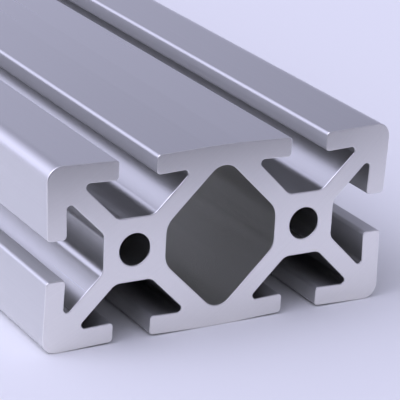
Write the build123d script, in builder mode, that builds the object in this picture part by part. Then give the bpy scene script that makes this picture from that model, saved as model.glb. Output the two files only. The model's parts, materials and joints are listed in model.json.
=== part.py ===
from build123d import *
import os
from math import cos, radians, sqrt, tan

# A two-cell T-slot bar: one aluminium extrusion of constant section, sawn square at both ends.
# X is across the section's wide side, Y along the bar and Z up. The origin is under the middle of
# the bar, on the surface that it lies on. Lengths are in millimetres, angles in degrees.

# The bar
bar_length = 304.8
cell_pitch = 38.1
corner_radius = 3.0
edge_break = 0.2

# The T-slot that opens on each free side of a cell
slot_mouth = 8.13
slot_root_radius = 0.8
slot_floor_radius = 2.4

# The lips either side of a slot mouth, which lean in towards it
lip_thickness = 4.05
lip_tilt = 2.0
lip_edge_radius = 0.8
rest_flat = 0.5

# The metal inside the section: diagonal webs, and the walls around each bore
web_thickness = 3.95
bore_diameter = 6.65
floor_wall = 3.35
chamber_wall = 3.47

# The hollow between the two cells
chamber_peak_radius = 3.7
chamber_side_radius = 4.5

# Places worked out from the sizes above, measured from the middle of a cell
half_pitch = cell_pitch / 2
cell_centres = (-half_pitch, half_pitch)
web_reach = web_thickness / sqrt(2)
lean = tan(radians(lip_tilt))
half_mouth = slot_mouth / 2
crown = half_pitch - corner_radius - rest_flat
lip_skin = lip_thickness / cos(radians(lip_tilt))
slot_floor = bore_diameter / 2 + floor_wall
chamber_side = half_pitch - bore_diameter / 2 - chamber_wall
chamber_peak = half_pitch - web_reach
chamber_shoulder = chamber_peak - chamber_side


def lip_face(across):
    """Height of a lip's outer face at a distance from the slot's middle."""
    return half_pitch - (crown - across) * lean


# The lip's inner face meets the diagonal web, whose face rises at 45 degrees
slot_root = (half_pitch - lip_skin - crown * lean - web_reach) / (1 - lean)

# One T-slot opening upwards: half of its corners, each with its radius, from the lip's crown
# down over the lip's edge, out along its inner face and down the web to the floor
slot_corners = [
    (crown, half_pitch, 0),
    (half_mouth, lip_face(half_mouth), lip_edge_radius),
    (half_mouth, lip_face(half_mouth) - lip_skin, lip_edge_radius),
    (slot_root, slot_root + web_reach, slot_root_radius),
    (slot_floor - web_reach, slot_floor, slot_floor_radius),
]
slot_outline = slot_corners + [(-x, y, r) for x, y, r in reversed(slot_corners)]

with BuildSketch() as slot:
    with BuildLine():
        FilletPolyline(
            [(x, y) for x, y, r in slot_outline],
            radius=[r for x, y, r in slot_outline],
            close=True,
        )
    make_face()

# The chamber between the cells: upright sides by the bores, roof and floor along the webs
chamber_corners = [
    (chamber_side, -chamber_shoulder, chamber_side_radius),
    (chamber_side, chamber_shoulder, chamber_side_radius),
    (0, chamber_peak, chamber_peak_radius),
    (-chamber_side, chamber_shoulder, chamber_side_radius),
    (-chamber_side, -chamber_shoulder, chamber_side_radius),
    (0, -chamber_peak, chamber_peak_radius),
]

# Every side of a cell has a slot, apart from the side that the two cells share
slot_places = [Location((x, 0, 0), (0, 0, turn)) for x in cell_centres for turn in (0, 180)]
slot_places += [Location((x, 0, 0), (0, 0, 90 if x < 0 else -90)) for x in cell_centres]

# The bar: the section drawn upright across the middle of the length, then drawn out both ways
section_plane = Plane(origin=(0, 0, half_pitch), x_dir=(1, 0, 0), z_dir=(0, -1, 0))

with BuildPart() as extrusion_bar:
    with BuildSketch(section_plane) as section:
        RectangleRounded(len(cell_centres) * cell_pitch, cell_pitch, corner_radius)
        with Locations(*slot_places):
            add(slot.sketch, mode=Mode.SUBTRACT)
        with BuildLine():
            FilletPolyline(
                [(x, y) for x, y, r in chamber_corners],
                radius=[r for x, y, r in chamber_corners],
                close=True,
            )
        make_face(mode=Mode.SUBTRACT)
        with Locations(*[(x, 0) for x in cell_centres]):
            Circle(bore_diameter / 2, mode=Mode.SUBTRACT)
    extrude(amount=bar_length / 2, both=True)
    # The saw's burr is taken off every edge of both cut ends
    sawn_ends = extrusion_bar.faces().filter_by(Axis.Y).group_by(Axis.Y)
    chamfer(sawn_ends[0].edges() + sawn_ends[-1].edges(), length=edge_break)

extrusion_bar.part.label = "extrusion_bar"

os.makedirs("parts", exist_ok=True)
export_step(extrusion_bar.part, "parts/extrusion_bar.step")
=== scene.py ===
# %% [markdown]
# A twin-cell T-slot bar, seen over its sawn end. The CAD model gives its shape and place, and this
# lesson dresses it: a finer surface for the same section, three metal finishes, a pale table, soft
# light and a camera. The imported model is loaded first, as a frame that nothing here moves.

# %% Load the frame
import json
import math

import bpy
import numpy as np
from mathutils import Matrix, Vector
from mathutils.geometry import delaunay_2d_cdt


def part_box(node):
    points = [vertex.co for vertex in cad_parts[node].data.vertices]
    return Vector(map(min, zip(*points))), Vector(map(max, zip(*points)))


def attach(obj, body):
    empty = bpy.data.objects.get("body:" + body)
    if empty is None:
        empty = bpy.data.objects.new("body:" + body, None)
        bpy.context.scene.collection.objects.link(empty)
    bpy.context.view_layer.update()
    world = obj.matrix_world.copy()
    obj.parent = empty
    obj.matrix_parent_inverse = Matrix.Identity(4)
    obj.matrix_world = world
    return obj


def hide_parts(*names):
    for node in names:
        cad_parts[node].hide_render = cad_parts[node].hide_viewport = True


MM = 0.001
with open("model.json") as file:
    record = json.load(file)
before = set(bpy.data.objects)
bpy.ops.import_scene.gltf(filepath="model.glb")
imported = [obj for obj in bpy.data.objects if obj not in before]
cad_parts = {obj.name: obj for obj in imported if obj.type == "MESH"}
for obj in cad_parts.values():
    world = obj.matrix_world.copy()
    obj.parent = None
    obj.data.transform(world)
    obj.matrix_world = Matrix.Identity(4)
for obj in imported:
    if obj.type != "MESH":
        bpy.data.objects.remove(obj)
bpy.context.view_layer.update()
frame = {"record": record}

# %% [markdown]
# An extrusion is one section pushed through a die, so one drawing of that section is the whole
# shape. The pitch, the length and the bores are read from the frame. The slot's own sizes are
# those of the CAD source, written again in metres because this script reads no other file.

# %% Sizes of the section
bar_node = "extrusion_bar"
bar_low, bar_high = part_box(bar_node)
bar_length = bar_high.y - bar_low.y
cell_pitch = bar_high.z - bar_low.z
half_pitch = cell_pitch / 2
mount_sizes = {mount["name"]: mount["dims"] for mount in frame["record"]["mounts"]}
bore_radius = mount_sizes["left_bore"]["r_mm"] * MM

corner_radius = 3.0 * MM
corner_flat = 0.5 * MM
edge_break = 0.2 * MM
half_mouth = 8.13 / 2 * MM
lip_thickness = 4.05 * MM
lip_lean = math.radians(2.0)
lip_edge_radius = 0.8 * MM
crown_radius = 6.0 * MM
slot_root_radius = 0.8 * MM
slot_floor_radius = 2.4 * MM
floor_thickness = 3.35 * MM
web_thickness = 3.95 * MM
chamber_wall = 3.47 * MM
chamber_side_radius = 4.5 * MM
chamber_peak_radius = 3.7 * MM
print("pitch, mm:", round(cell_pitch / MM, 3), "bore radius, mm:", round(bore_radius / MM, 3))

# %% [markdown]
# A die's corners are never quite sharp: each is cut with a small radius, and those radii catch the
# light as thin lines along the bar. A bevel could round them afterwards, but worked out as arcs they
# come with exact normals, so the flats between them stay flat to the eye.

# %% Round the corners of an outline
ARC_POINTS = 9


def rounded_outline(corners, radii):
    """Points and outward normals of a closed outline, taken anticlockwise round the metal.

    At a corner the path turns by an angle a. The arc's centre lies on the bisector, the radius over
    cos(a / 2) from the corner, and the travel direction swings evenly from one side to the next.
    """
    corners = np.asarray(corners, float)
    radii = np.asarray(radii, float)
    arriving = corners - np.roll(corners, 1, axis=0)
    arriving /= np.linalg.norm(arriving, axis=1, keepdims=True)
    leaving = np.roll(arriving, -1, axis=0)
    turn = np.arctan2(
        arriving[:, 0] * leaving[:, 1] - arriving[:, 1] * leaving[:, 0],
        (arriving * leaving).sum(axis=1),
    )
    heading = np.arctan2(arriving[:, 1], arriving[:, 0])
    swing = heading[:, None] + turn[:, None] * np.linspace(0, 1, ARC_POINTS)
    outward = np.stack([np.sin(swing), -np.cos(swing)], axis=-1)
    bisector = leaving - arriving
    bisector /= np.linalg.norm(bisector, axis=1, keepdims=True)
    centres = corners + bisector * (radii / np.cos(turn / 2))[:, None]
    signed = (radii * np.sign(turn))[:, None, None]
    return (centres[:, None] + signed * outward).reshape(-1, 2), outward.reshape(-1, 2)


trial_points, trial_normals = rounded_outline([(0, 0), (1, 0), (1, 1), (0, 1)], [0.2] * 4)
print("a square's four corners become", len(trial_points), "points")

# %% [markdown]
# Each free side of a cell has the same slot: lips that lean in by two degrees, an undercut that
# follows the diagonal web, and a flat floor over the bore. Half a slot's corners are listed once,
# mirrored, and turned into six places, with the bar's four outer corners between them. Each corner
# also notes two things for the finish: its painted shade, which is 1 deep in the undercut and darkens
# the skin's colour there in place of shade, and the skin's dullness just before it and just after it,
# which is 1 on the faces of the lips.

# %% The outer outline
lean = math.tan(lip_lean)
lip_skin = lip_thickness / math.cos(lip_lean)
web_reach = web_thickness / math.sqrt(2)
crown = half_pitch - corner_radius - corner_flat
lip_edge = half_pitch - (crown - half_mouth) * lean
slot_root = (half_pitch - lip_skin - crown * lean - web_reach) / (1 - lean)
slot_floor = bore_radius + floor_thickness
# Across, upward, radius, painted shade, dullness before, dullness after
half_slot = np.array([
    (crown, half_pitch, crown_radius, 0, 0, 0),
    (half_mouth, lip_edge, lip_edge_radius, 0, 0, 1),
    (half_mouth, lip_edge - lip_skin, lip_edge_radius, 0.3, 1, 1),
    (slot_root, slot_root + web_reach, slot_root_radius, 1, 0, 0),
    (slot_floor - web_reach, slot_floor, slot_floor_radius, 0, 0, 0),
])
# The other half runs backwards, so before and after change places
other_half = half_slot[::-1, [0, 1, 2, 3, 5, 4]] * (-1, 1, 1, 1, 1, 1)
slot = np.vstack([half_slot, other_half])


def placed_slot(cell, quarter_turns):
    """One slot's corners, turned by whole quarters about a cell's middle."""
    angle = quarter_turns * math.pi / 2
    across = slot[:, 0] * math.cos(angle) - slot[:, 1] * math.sin(angle) + cell * half_pitch
    upward = slot[:, 0] * math.sin(angle) + slot[:, 1] * math.cos(angle)
    return np.column_stack([across, upward, slot[:, 2:]])


def bar_corner(side, height):
    """One of the four outer corners, with its radius, with no painted shade and no more dullness than
    the flats.
    """
    return [(side * cell_pitch, height * half_pitch, corner_radius, 0, 0, 0)]


outer_corners = np.vstack([
    bar_corner(1, 1), placed_slot(1, 0), placed_slot(-1, 0),
    bar_corner(-1, 1), placed_slot(-1, 1),
    bar_corner(-1, -1), placed_slot(-1, 2), placed_slot(1, 2),
    bar_corner(1, -1), placed_slot(1, 3),
])
outer = rounded_outline(outer_corners[:, :2], outer_corners[:, 2])
# Painted shade: each corner's value darkens the skin's colour deep in the undercuts in place of
# shade.
outer_painted_shade = np.repeat(outer_corners[:, 3], ARC_POINTS)
outer_dullness = np.linspace(outer_corners[:, 4], outer_corners[:, 5], ARC_POINTS, axis=1).ravel()
print("outer outline:", len(outer_corners), "corners,", len(outer[0]), "points")

# %% [markdown]
# Inside the section are three hollows: a bore through the middle of each cell, and the chamber that
# the four inner webs leave between them. Their outlines run clockwise, so the same rule for the
# normal makes it point out of the metal, into the hollow.

# %% The bores and the chamber
BORE_POINTS = 72


def bore_outline(cell):
    """A circle about a cell's middle, clockwise, with normals towards its centre."""
    angle = -np.linspace(0, 2 * math.pi, BORE_POINTS, endpoint=False)
    ray = np.column_stack([np.cos(angle), np.sin(angle)])
    return ray * bore_radius + (cell * half_pitch, 0), -ray


chamber_side = half_pitch - bore_radius - chamber_wall
chamber_peak = half_pitch - web_reach
chamber_shoulder = chamber_peak - chamber_side
chamber_corners = np.array([
    (-chamber_side, -chamber_shoulder, chamber_side_radius),
    (-chamber_side, chamber_shoulder, chamber_side_radius),
    (0, chamber_peak, chamber_peak_radius),
    (chamber_side, chamber_shoulder, chamber_side_radius),
    (chamber_side, -chamber_shoulder, chamber_side_radius),
    (0, -chamber_peak, chamber_peak_radius),
])
chamber = rounded_outline(chamber_corners[:, :2], chamber_corners[:, 2])
outlines = [outer, chamber, bore_outline(-1), bore_outline(1)]


def enclosed(points):
    """Signed area inside a closed outline: half the sum of the cross products of its sides."""
    following = np.roll(points, -1, axis=0)
    return 0.5 * (points[:, 0] * following[:, 1] - points[:, 1] * following[:, 0]).sum()


metal = sum(enclosed(points) for points, normals in outlines)
print("metal in the section, mm2:", round(metal / MM**2, 1))

# %% [markdown]
# The section is carried along the bar on a straight path. Near each sawn end the outline draws in
# over a quarter circle, which is the broken edge that a deburring tool leaves. The normals lean over
# with it, from sideways on the bar's sides to straight out at the end.

# %% Carry the section along the bar
EDGE_RINGS = 5
RUN_RINGS = 13
roll_over = np.linspace(0, math.pi / 2, EDGE_RINGS)
edge_inset = edge_break * (1 - np.cos(roll_over))
edge_reach = bar_length / 2 - edge_break * (1 - np.sin(roll_over))
run = np.linspace(-edge_reach[0], edge_reach[0], RUN_RINGS)[1:-1]
ring_place = np.concatenate([-edge_reach[::-1], run, edge_reach])
ring_inset = np.concatenate([edge_inset[::-1], 0 * run, edge_inset])
ring_tilt = np.concatenate([-roll_over[::-1], 0 * run, roll_over])


def swept(points, normals):
    """A grid of rings by outline points: each point moves in along its normal by the ring's inset,
    and its normal leans towards the end by the ring's tilt."""
    drawn = points[None] - normals[None] * ring_inset[:, None, None]
    along = np.broadcast_to(ring_place[:, None], drawn.shape[:2])
    place = np.stack([drawn[..., 0], along, drawn[..., 1] + half_pitch], axis=-1)
    flat = normals[None] * np.cos(ring_tilt)[:, None, None]
    lean_out = np.broadcast_to(np.sin(ring_tilt)[:, None], flat.shape[:2])
    return place, np.stack([flat[..., 0], lean_out, flat[..., 1]], axis=-1)


section = np.vstack([points for points, normals in outlines])
facing = np.vstack([normals for points, normals in outlines])
bar_points, bar_normals = swept(section, facing)
rings, around = bar_points.shape[:2]
print("bar surface:", rings, "rings of", around, "points")

# %% [markdown]
# Between two rings, each pair of neighbouring points makes one four-sided face. An outline closes on
# itself, so the point after its last one is its first. All the faces come from one sum of index
# arrays, in the order that turns them outward.

# %% Join the rings into walls
outline_sizes = np.array([len(points) for points, normals in outlines])
outline_of = np.repeat(np.arange(len(outlines)), outline_sizes)
here = np.arange(around)
after = here + 1
last_points = np.cumsum(outline_sizes) - 1
after[last_points] = last_points + 1 - outline_sizes
near = np.arange(rings - 1)[:, None] * around
far = near + around
walls = np.stack([far + here, far + after, near + after, near + here], axis=-1).reshape(-1, 4)
wall_ring = np.repeat(np.arange(rings - 1), around)
print("walls:", len(walls), "faces")

# %% [markdown]
# The flat faces of the two ends are filled with triangles between the four outlines. Blender's own
# triangulation keeps the outlines as edges. The hollows are convex, so a triangle with all three
# corners on one of them lies in it and is dropped. Both ends use the same triangles.

# %% Fill the two ends
FILL_INSIDE = 2
SAME_POINT = 1e-9
FIRST_HOLLOW = 1
end_outline = bar_points[0][:, [0, 2]]
filled = delaunay_2d_cdt(
    [Vector(point) for point in end_outline.tolist()],
    np.column_stack([here, after]).tolist(),
    [],
    FILL_INSIDE,
    SAME_POINT,
)
new_triangles, came_from = filled[2:4]
given_point = np.array([points[0] for points in came_from])
end_triangles = given_point[np.array(new_triangles)]
owner = outline_of[end_triangles]
in_hollow = (owner == owner[:, :1]).all(axis=1) & (owner[:, 0] >= FIRST_HOLLOW)
end_triangles = end_triangles[~in_hollow]
p, q, r = (end_outline[end_triangles[:, corner]] for corner in range(3))
turning = (q[:, 0] - p[:, 0]) * (r[:, 1] - p[:, 1]) - (q[:, 1] - p[:, 1]) * (r[:, 0] - p[:, 0])
end_triangles[turning < 0] = end_triangles[turning < 0][:, ::-1]
print("each end:", len(end_triangles), "triangles,", round(abs(turning).sum() / 2 / MM**2, 1), "mm2")

# %% [markdown]
# The walls and both ends become one closed mesh, which stands for the CAD bar. Each face has one of
# three finishes: skin outside, sawn metal on the ends and their broken edges, mill finish in the
# hollows. The normals are the ones worked out above, so nothing is left to automatic smoothing.

# %% Make the bar's mesh
SKIN, SAWN, MILL = range(3)
back_ring = (rings - 1) * around
faces = walls.tolist() + end_triangles.tolist() + (end_triangles[:, ::-1] + back_ring).tolist()
bar_mesh = bpy.data.meshes.new("bar_surface")
bar_mesh.from_pydata(bar_points.reshape(-1, 3).tolist(), [], faces)
bar_mesh.polygons.foreach_set("use_smooth", np.ones(len(faces), bool))
broken_edge = (wall_ring < EDGE_RINGS - 1) | (wall_ring >= rings - EDGE_RINGS)
hollow_wall = np.tile(outline_of >= FIRST_HOLLOW, rings - 1)
finish_of = np.full(len(faces), SAWN, np.int32)
finish_of[:len(walls)] = np.where(broken_edge, SAWN, np.where(hollow_wall, MILL, SKIN))
bar_mesh.polygons.foreach_set("material_index", finish_of)


def note_on_points(name, outer_values):
    """Keeps a number at each point: the outer outline's value on every ring, and 0 in the hollows."""
    ring_values = np.zeros(around, np.float32)
    ring_values[:len(outer_values)] = outer_values
    note = bar_mesh.attributes.new(name, "FLOAT", "POINT")
    note.data.foreach_set("value", np.tile(ring_values, rings))


# Painted shade: this note darkens the skin's colour in the undercuts, standing in for shade there.
note_on_points("painted_shade", outer_painted_shade)
note_on_points("dullness", outer_dullness)
bar_mesh.validate()
bar_mesh.normals_split_custom_set_from_vertices(bar_normals.reshape(-1, 3))
bar_mesh.update()

scene = bpy.context.scene
bar = bpy.data.objects.new("t_slot_bar", bar_mesh)
scene.collection.objects.link(bar)
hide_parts(bar_node)
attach(bar, "root")
print("bar:", len(bar_mesh.vertices), "points,", sum(len(face) - 2 for face in faces), "triangles")

# %% [markdown]
# A finish is a graph of nodes. Written as Python, the maths reads as it does on paper: a small class
# wraps a socket and turns + - * into Math nodes, and one method adds every other kind of node.

# %% A way to write finishes


class Term:
    """One value in a node tree. Arithmetic on it adds Math nodes."""

    def __init__(self, socket):
        self.socket = socket

    def with_math(self, operation, first, second):
        """A Math node of two values, as a new term."""
        tree = self.socket.id_data
        made = tree.nodes.new("ShaderNodeMath")
        made.operation = operation
        for place, given in zip(made.inputs, (first, second)):
            join(tree, place, given)
        return Term(made.outputs[0])

    def __add__(self, other):
        return self.with_math("ADD", self, other)

    def __sub__(self, other):
        return self.with_math("SUBTRACT", self, other)

    def __rsub__(self, other):
        return self.with_math("SUBTRACT", other, self)

    def __mul__(self, other):
        return self.with_math("MULTIPLY", self, other)

    def exp(self):
        """The number e to the power of this value."""
        return self.with_math("EXPONENT", self, 0.0)

    __radd__ = __add__
    __rmul__ = __mul__


def join(tree, socket, given):
    """Links a term or socket to an input, or sets the input to a plain value."""
    if isinstance(given, Term):
        tree.links.new(given.socket, socket)
    elif isinstance(given, bpy.types.NodeSocket):
        tree.links.new(given, socket)
    else:
        socket.default_value = given


class Finish:
    """A node tree that is put together by name."""

    def __init__(self, owner):
        owner.use_nodes = True
        self.owner = owner
        self.tree = owner.node_tree
        self.tree.nodes.clear()

    def node(self, kind, settings, sockets):
        """A node of a kind: its settings first, then the values or links of its sockets."""
        made = self.tree.nodes.new("ShaderNode" + kind)
        for name, value in settings.items():
            setattr(made, name, value)
        for name, given in sockets.items():
            join(self.tree, made.inputs[name], given)
        return made

    def stretched(self, rate):
        """Object coordinates, multiplied on each axis by a rate."""
        place = self.node("TexCoord", {}, {}).outputs["Object"]
        return self.node("Mapping", {}, {"Vector": place, "Scale": rate}).outputs["Vector"]

    def noise(self, rate, detail):
        """Smooth random values from 0 to 1, with a rate of waves to the metre on each axis."""
        sockets = {"Vector": self.stretched(rate), "Scale": 1.0, "Detail": detail}
        return Term(self.node("TexNoise", {}, sockets).outputs["Fac"])

    def noted(self, name):
        """The number that the mesh keeps at each point under a name."""
        return Term(self.node("Attribute", {"attribute_name": name}, {}).outputs["Fac"])

    def between(self, share, one, other):
        """A colour between two colours, by a share of the other."""
        return self.node("Mix", {"data_type": "RGBA"}, {0: share, 6: one, 7: other}).outputs[2]

    def relief(self, strength, depth, height):
        """A normal that leans with the slope of a height, which is depth metres at most."""
        sockets = {"Strength": strength, "Distance": depth, "Height": height}
        return self.node("Bump", {}, sockets).outputs["Normal"]

    def shade(self, kind, sockets, output="OutputMaterial"):
        """Ends the tree with a shader of a kind and its output, and says how many nodes it took."""
        shader = self.node(kind, {}, sockets)
        self.node(output, {}, {"Surface": shader.outputs[0]})
        print(self.owner.name, "has", len(self.tree.nodes), "nodes")


# %% [markdown]
# Clear anodising leaves extruded aluminium a cool satin grey. The die draws faint lines along the
# bar, far longer than they are wide, so noise is stretched along Y. Over them lie the fine grain of
# the etch bath and slow changes of tone. The skin's colour is also darker in the undercuts, which is
# painted shade, and the skin is duller on the lips' faces. That is a guess, which brings the slots
# nearer to the photograph's tones.

# %% The anodised skin
RELIEF_DEPTH = 0.04 * MM
skin = Finish(bpy.data.materials.new("anodised_skin"))
die_lines = skin.noise((1500, 5, 1500), 3.0)
etch_grain = skin.noise((3200, 3200, 3200), 2.0)
slow_tone = skin.noise((26, 9, 26), 2.0)
skin_tone = 0.45 * die_lines + 0.2 * etch_grain + 0.35 * slow_tone
open_colour = skin.between(skin_tone, (0.65, 0.65, 0.635, 1), (0.76, 0.76, 0.742, 1))
# This darker colour is painted shade, used where the undercut note is 1.
painted_shade_colour = skin.between(skin_tone, (0.54, 0.54, 0.528, 1), (0.63, 0.63, 0.615, 1))
skin.shade("BsdfPrincipled", {
    "Base Color": skin.between(skin.noted("painted_shade"), open_colour, painted_shade_colour),
    "Metallic": 1.0,
    "Roughness": 0.22 + 0.1 * die_lines + 0.06 * slow_tone + 0.3 * skin.noted("dullness"),
    "Normal": skin.relief(0.12, RELIEF_DEPTH, 0.7 * die_lines + 0.3 * etch_grain),
})

# %% [markdown]
# The ends are bare metal, cut by a large circular saw after anodising. Its teeth leave fine arcs
# about the blade's axle, which was well outside the section. Noise read along the distance from that
# axle gives such arcs: the same value all along each, and no two alike.

# %% The sawn ends
TEETH_TO_THE_METRE = 2400
axle = (-0.11, 0.0, 0.16)
sawn = Finish(bpy.data.materials.new("sawn_end"))
from_axle = sawn.node("VectorMath", {"operation": "SUBTRACT"}, {
    0: sawn.stretched((1, 0, 1)),
    1: axle,
}).outputs["Vector"]
reach = Term(sawn.node("VectorMath", {"operation": "LENGTH"}, {0: from_axle}).outputs["Value"])
tooth_marks = Term(sawn.node("TexNoise", {"noise_dimensions": "1D"}, {
    "W": reach * TEETH_TO_THE_METRE,
    "Scale": 1.0,
    "Detail": 2.0,
}).outputs["Fac"])
torn_grain = sawn.noise((2600, 2600, 2600), 2.0)
cut_tone = sawn.noise((60, 60, 60), 2.0)
sawn_tone = 0.45 * tooth_marks + 0.25 * torn_grain + 0.3 * cut_tone
sawn.shade("BsdfPrincipled", {
    "Base Color": sawn.between(sawn_tone, (0.87, 0.855, 0.815, 1), (0.96, 0.945, 0.905, 1)),
    "Metallic": 1.0,
    "Roughness": 0.26 + 0.12 * tooth_marks,
    "Normal": sawn.relief(0.05, RELIEF_DEPTH, 0.7 * tooth_marks + 0.3 * torn_grain),
})

# %% [markdown]
# The walls of the bores and the chamber are shaped by mandrels deep in the die. They are taken to be
# brighter than the skin, because a bath reaches only a little way into long holes. They pass on the
# light that falls in at the ends, so the chamber is a soft neutral grey, not black.

# %% The bores and the chamber's walls
mill = Finish(bpy.data.materials.new("mill_finish"))
mandrel_lines = mill.noise((900, 4, 900), 3.0)
haze = mill.noise((40, 12, 40), 2.0)
mill_tone = 0.6 * mandrel_lines + 0.4 * haze
mill.shade("BsdfPrincipled", {
    "Base Color": mill.between(mill_tone, (0.88, 0.88, 0.863, 1), (0.95, 0.95, 0.932, 1)),
    "Metallic": 1.0,
    "Roughness": 0.2 + 0.1 * mandrel_lines,
})
for finish in (skin, sawn, mill):
    bar_mesh.materials.append(finish.owner)
print("finishes:", [material.name for material in bar_mesh.materials])

# %% [markdown]
# The bar lies on a plain pale table. The table is only a stage, so it is not part of the object: a
# flat sheet with a matt, pale colour that takes the bar's shadow. It has no gloss of its own, so
# nothing in the room shows in it.

# %% The table
TABLE_REACH = 4.0


def stage_sheet(name, corners, finish):
    """A flat sheet between four corners, in one finish, which is stage and not part of the object."""
    sheet_mesh = bpy.data.meshes.new(name)
    sheet_mesh.from_pydata(corners, [], [(0, 1, 2, 3)])
    sheet_mesh.materials.append(finish.owner)
    sheet = bpy.data.objects.new(name, sheet_mesh)
    scene.collection.objects.link(sheet)
    return sheet


matt = Finish(bpy.data.materials.new("matt_table"))
matt.shade("BsdfPrincipled", {
    "Base Color": (0.88, 0.88, 0.848, 1),
    "Roughness": 0.8,
    "Specular IOR Level": 0.0,
})
corner_signs = [(-1, -1), (1, -1), (1, 1), (-1, 1)]
table = stage_sheet("table", [(x * TABLE_REACH, y * TABLE_REACH, 0) for x, y in corner_signs], matt)
print("table, m:", [round(side, 2) for side in table.dimensions])

# %% [markdown]
# Satin metal has little colour of its own: it shows the room. So the light is a plain room, pale with
# a touch of lavender, with ten soft glows in it. They stand for a skylight and windows on the left,
# pale walls behind, and weaker light from the right and the front, which the bar shows from its
# other sides. Lamps could do the same, but glows in the room light the whole table evenly.

# %% The room
room = Finish(bpy.data.worlds.new("pale_room"))
scene.world = room.owner
toward = room.node("TexCoord", {}, {}).outputs["Generated"]


def glow(azimuth, height, strength, focus):
    """A soft glow about a direction: strength times e to the power of focus times (cosine - 1).
    Azimuth turns from +Y towards +X, and both angles are in degrees."""
    a = math.radians(azimuth)
    h = math.radians(height)
    centre = (math.sin(a) * math.cos(h), math.cos(a) * math.cos(h), math.sin(h))
    cosine = room.node("VectorMath", {"operation": "DOT_PRODUCT"}, {0: toward, 1: centre})
    return strength * (focus * (Term(cosine.outputs["Value"]) - 1)).exp()


even_light = 0.17
glows = {
    "skylight": (263, 60, 2.1, 8.0),
    "left window": (285, 45, 1.5, 14.0),
    "low window": (300, 10, 1.45, 15.0),
    "left corner": (338, 28, 0.34, 15.0),
    "left wall": (345, 8, 0.9, 20.0),
    "back wall": (0, 6, 0.6, 12.0),
    "far corner": (30, 2, 0.36, 12.0),
    "right wall": (90, 5, 0.3, 8.0),
    "right panel": (126, 55, 0.2, 5.0),
    "front wall": (163, 16, 0.22, 5.0),
}
room.shade("Background", {
    "Color": (0.905, 0.91, 1.235, 1),
    "Strength": sum((glow(*numbers) for numbers in glows.values()), even_light),
}, "OutputWorld")

# %% [markdown]
# Metal needs something dark to show as well. A dark card stands out of view, just in front of the
# sawn end, and darkens the upper part of the end's reflection of the table. Only reflections see it,
# and it casts no shadow.

# %% A dark card for the metal to show
CARD_GAP = 0.085
CARD_HEIGHT = 0.06
CARD_LEFT = -0.3
CARD_RIGHT = 0.1
black = Finish(bpy.data.materials.new("black_card"))
black.shade("BsdfDiffuse", {"Color": (0.03, 0.03, 0.035, 1)})
card_y = -bar_length / 2 - CARD_GAP
card = stage_sheet("dark_card", [
    (CARD_LEFT, card_y, 0),
    (CARD_RIGHT, card_y, 0),
    (CARD_RIGHT, card_y, CARD_HEIGHT),
    (CARD_LEFT, card_y, CARD_HEIGHT),
], black)
card.visible_camera = False
card.visible_diffuse = False
card.visible_shadow = False
print("card, m:", [round(side, 3) for side in card.dimensions])

# %% [markdown]
# The camera was fitted to the photograph by the corners and bores of the sawn end. It stands in
# front and to the left, looks down by about twenty degrees, and its long lens keeps the bar's sides
# nearly parallel. The print shows where the two bores fall in a picture of 400 by 400.

# %% The camera
PICTURE_SIDE = 400
SENSOR_MM = 36.0
FOCAL_PIXELS = 2143.0
camera_place = (-0.2012, -0.4870, 0.1720)
camera_turn = math.radians(-30.351)
camera_dip = math.radians(20.463)
camera_roll = math.radians(3.216)
camera_data = bpy.data.cameras.new("camera")
camera_data.sensor_width = SENSOR_MM
camera_data.lens = FOCAL_PIXELS * SENSOR_MM / PICTURE_SIDE
camera = bpy.data.objects.new("camera", camera_data)
turned = Matrix.Rotation(camera_turn, 4, "Z")
tipped = Matrix.Rotation(math.pi / 2 - camera_dip, 4, "X")
rolled = Matrix.Rotation(camera_roll, 4, "Z")
camera.matrix_world = Matrix.Translation(camera_place) @ turned @ tipped @ rolled
scene.collection.objects.link(camera)
scene.camera = camera


def pixel(point):
    """Where a point falls in the picture: its sideways and upward shares of depth, in pixels."""
    seen = camera.matrix_world.inverted() @ Vector(point)
    across = PICTURE_SIDE / 2 - FOCAL_PIXELS * seen.x / seen.z
    down = PICTURE_SIDE / 2 + FOCAL_PIXELS * seen.y / seen.z
    return round(across, 1), round(down, 1)


print("bores fall at", [pixel((cell * half_pitch, -bar_length / 2, half_pitch)) for cell in (-1, 1)])

# %% [markdown]
# Last come the settings of the picture. Light has to bounce many times to
# reach the depths of the slots and the chamber, so paths are let run longer than usual.

# %% Settings
LIGHT_BOUNCES = 24
scene.view_settings.view_transform = "Standard"
scene.cycles.max_bounces = LIGHT_BOUNCES
scene.cycles.glossy_bounces = LIGHT_BOUNCES
